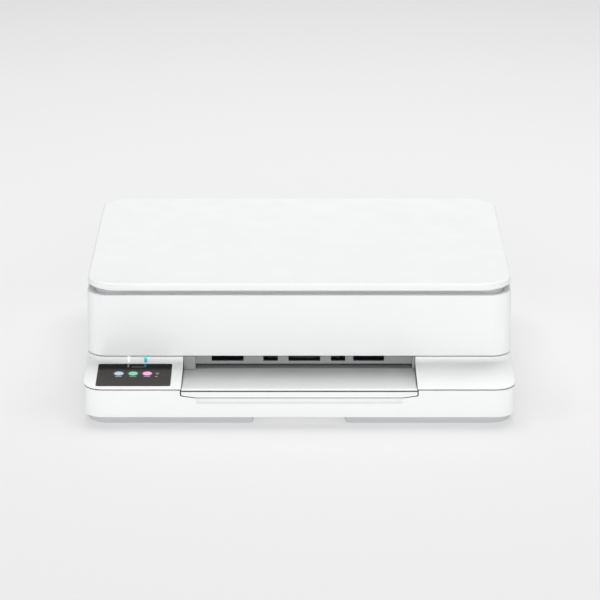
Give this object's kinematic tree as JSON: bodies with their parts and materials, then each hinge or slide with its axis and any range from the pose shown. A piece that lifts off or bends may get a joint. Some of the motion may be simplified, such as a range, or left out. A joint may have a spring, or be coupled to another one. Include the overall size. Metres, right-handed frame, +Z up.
{
  "type": "inkjet printer",
  "caption": "Low white all-in-one inkjet printer with a flatbed scanner lid, a front paper drawer and output slot, and a touch panel on the sloped front deck.",
  "frame": {"origin": "on the surface the printer stands on, under the middle of its outline", "axes": "+X to the right seen from the front, +Y to the back, +Z up"},
  "size_m": [0.433, 0.386, 0.1254],
  "materials": {
    "white_shell": "fine satin moulded white plastic",
    "light_grey_plastic": "satin moulded light grey plastic",
    "grey_plastic": "satin moulded dark grey plastic",
    "black_plastic": "matte moulded black plastic",
    "black_glass": "glossy black touch panel",
    "clear_glass": "clear float glass",
    "steel": "zinc plated and ground steel",
    "rubber": "matte black rubber",
    "white_foam": "white film over soft foam",
    "circuit_board": "green solder mask",
    "white_light": "frosted light pipe, lit white",
    "cyan_light": "frosted light pipe, lit blue green"
  },
  "bodies": {
    "base": {"base_plinth": "light_grey_plastic", "foot_front_left": "rubber", "foot_front_right": "rubber", "foot_rear_left": "rubber", "foot_rear_right": "rubber", "base_housing": "white_shell", "power_inlet": "black_plastic", "usb_port": "black_plastic", "deck_left": "white_shell", "deck_right": "white_shell", "display_glass": "black_glass", "control_board": "circuit_board", "light_bar_white": "white_light", "light_bar_cyan": "cyan_light", "exit_frame": "grey_plastic", "side_plate_left": "steel", "side_plate_right": "steel", "line_feed_motor": "steel", "carriage_motor": "steel", "print_platen": "black_plastic", "star_wheel_bar": "black_plastic", "rear_paper_guide": "grey_plastic", "service_station": "grey_plastic", "carriage_rail": "steel", "carriage_belt": "rubber", "main_board": "circuit_board", "power_supply": "black_plastic", "rear_cover": "white_shell"},
    "paper_drawer": {"tray_front": "white_shell", "tray_pan": "grey_plastic", "output_tray_cover": "white_shell"},
    "extender": {"tray_extender": "white_shell"},
    "guide_left": {"width_guide_left": "light_grey_plastic"},
    "guide_right": {"width_guide_right": "light_grey_plastic"},
    "guide_gear": {"guide_pinion": "light_grey_plastic"},
    "feed_shaft": {"feed_roller": "steel", "feed_gear": "light_grey_plastic"},
    "idler": {"idler_gear": "light_grey_plastic"},
    "exit_shaft": {"exit_roller": "rubber", "exit_gear": "light_grey_plastic"},
    "pick_shaft": {"pick_roller": "rubber", "pick_gear": "light_grey_plastic"},
    "motor_gear": {"motor_pinion": "light_grey_plastic"},
    "drive_pulley": {"drive_pulley": "light_grey_plastic"},
    "idler_pulley": {"idler_pulley": "light_grey_plastic"},
    "carriage": {"carriage": "grey_plastic", "cartridge_black": "black_plastic", "cartridge_colour": "light_grey_plastic"},
    "power_button": {"power_button": "light_grey_plastic"},
    "wireless_button": {"wireless_button": "light_grey_plastic"},
    "scanner_body": {"scanner_housing": "white_shell", "scanner_bezel": "light_grey_plastic", "platen_glass": "clear_glass", "scanner_tub": "black_plastic", "scan_rail": "steel", "lid_hinge_left": "grey_plastic", "lid_hinge_right": "grey_plastic"},
    "scan_bar": {"scan_bar": "black_plastic"},
    "lid": {"lid_cover": "white_shell", "lid_pad": "white_foam"}
  },
  "joints": [
    {"name": "drawer_slide", "type": "slide", "parent": "base", "child": "paper_drawer", "axis": [0, -1, 0], "range_m": [0, 0.18]},
    {"name": "extender_slide", "type": "slide", "parent": "paper_drawer", "child": "extender", "axis": [0, -1, 0], "range_m": [0, 0.11]},
    {"name": "guide_left_slide", "type": "slide", "parent": "paper_drawer", "child": "guide_left", "axis": [1, 0, 0], "range_m": [0, 0.055]},
    {"name": "guide_right_slide", "type": "slide", "parent": "paper_drawer", "child": "guide_right", "axis": [-1, 0, 0], "range_m": [0, 0.055]},
    {"name": "guide_pinion_spin", "type": "hinge", "parent": "paper_drawer", "child": "guide_gear", "pos_m": [0, -0.056, 0.013], "axis": [0, 0, 1], "range_deg": [-355, 0]},
    {"name": "feed_spin", "type": "hinge", "parent": "base", "child": "feed_shaft", "pos_m": [0, 0.028, 0.043], "axis": [1, 0, 0], "continuous": true},
    {"name": "idler_spin", "type": "hinge", "parent": "base", "child": "idler", "pos_m": [0, -0.01075, 0.043], "axis": [1, 0, 0], "continuous": true},
    {"name": "exit_spin", "type": "hinge", "parent": "base", "child": "exit_shaft", "pos_m": [0, -0.0395, 0.043], "axis": [1, 0, 0], "continuous": true},
    {"name": "pick_spin", "type": "hinge", "parent": "base", "child": "pick_shaft", "pos_m": [0, 0.05494, 0.0375], "axis": [1, 0, 0], "continuous": true},
    {"name": "motor_spin", "type": "hinge", "parent": "base", "child": "motor_gear", "pos_m": [0, 0.05073, 0.05613], "axis": [1, 0, 0], "continuous": true},
    {"name": "carriage_travel", "type": "slide", "parent": "base", "child": "carriage", "axis": [-1, 0, 0], "range_m": [0, 0.297]},
    {"name": "drive_pulley_spin", "type": "hinge", "parent": "base", "child": "drive_pulley", "pos_m": [0.168, 0.038, 0.0765], "axis": [0, 1, 0], "range_deg": [-2860, 2860]},
    {"name": "idler_pulley_spin", "type": "hinge", "parent": "base", "child": "idler_pulley", "pos_m": [-0.17, 0.038, 0.0765], "axis": [0, 1, 0], "range_deg": [-2860, 2860]},
    {"name": "power_button_press", "type": "slide", "parent": "base", "child": "power_button", "axis": [0, -1, 0], "range_m": [0, 0.001], "stiffness_N_per_m": 600},
    {"name": "wireless_button_press", "type": "slide", "parent": "base", "child": "wireless_button", "axis": [0, -1, 0], "range_m": [0, 0.001], "stiffness_N_per_m": 600},
    {"name": "access_door", "type": "hinge", "parent": "base", "child": "scanner_body", "pos_m": [0, 0.187, 0.095], "axis": [-1, 0, 0], "range_deg": [0, 38]},
    {"name": "scan_travel", "type": "slide", "parent": "scanner_body", "child": "scan_bar", "axis": [1, 0, 0], "range_m": [0, 0.3]},
    {"name": "lid_hinge", "type": "hinge", "parent": "scanner_body", "child": "lid", "pos_m": [0, 0.1875, 0.1166], "axis": [-1, 0, 0], "range_deg": [0, 80]}
  ],
  "couplings": [
    {"joint": "guide_right_slide", "follows": "guide_left_slide", "ratio": 1},
    {"joint": "guide_pinion_spin", "follows": "guide_left_slide", "rad_per_m": -111.11},
    {"joint": "idler_spin", "follows": "feed_spin", "ratio": -1.0667},
    {"joint": "exit_spin", "follows": "feed_spin", "ratio": 2},
    {"joint": "pick_spin", "follows": "feed_spin", "ratio": -2.6667},
    {"joint": "motor_spin", "follows": "feed_spin", "ratio": -3.2},
    {"joint": "drive_pulley_spin", "follows": "carriage_travel", "rad_per_m": -166.67},
    {"joint": "idler_pulley_spin", "follows": "carriage_travel", "rad_per_m": -166.67}
  ]
}
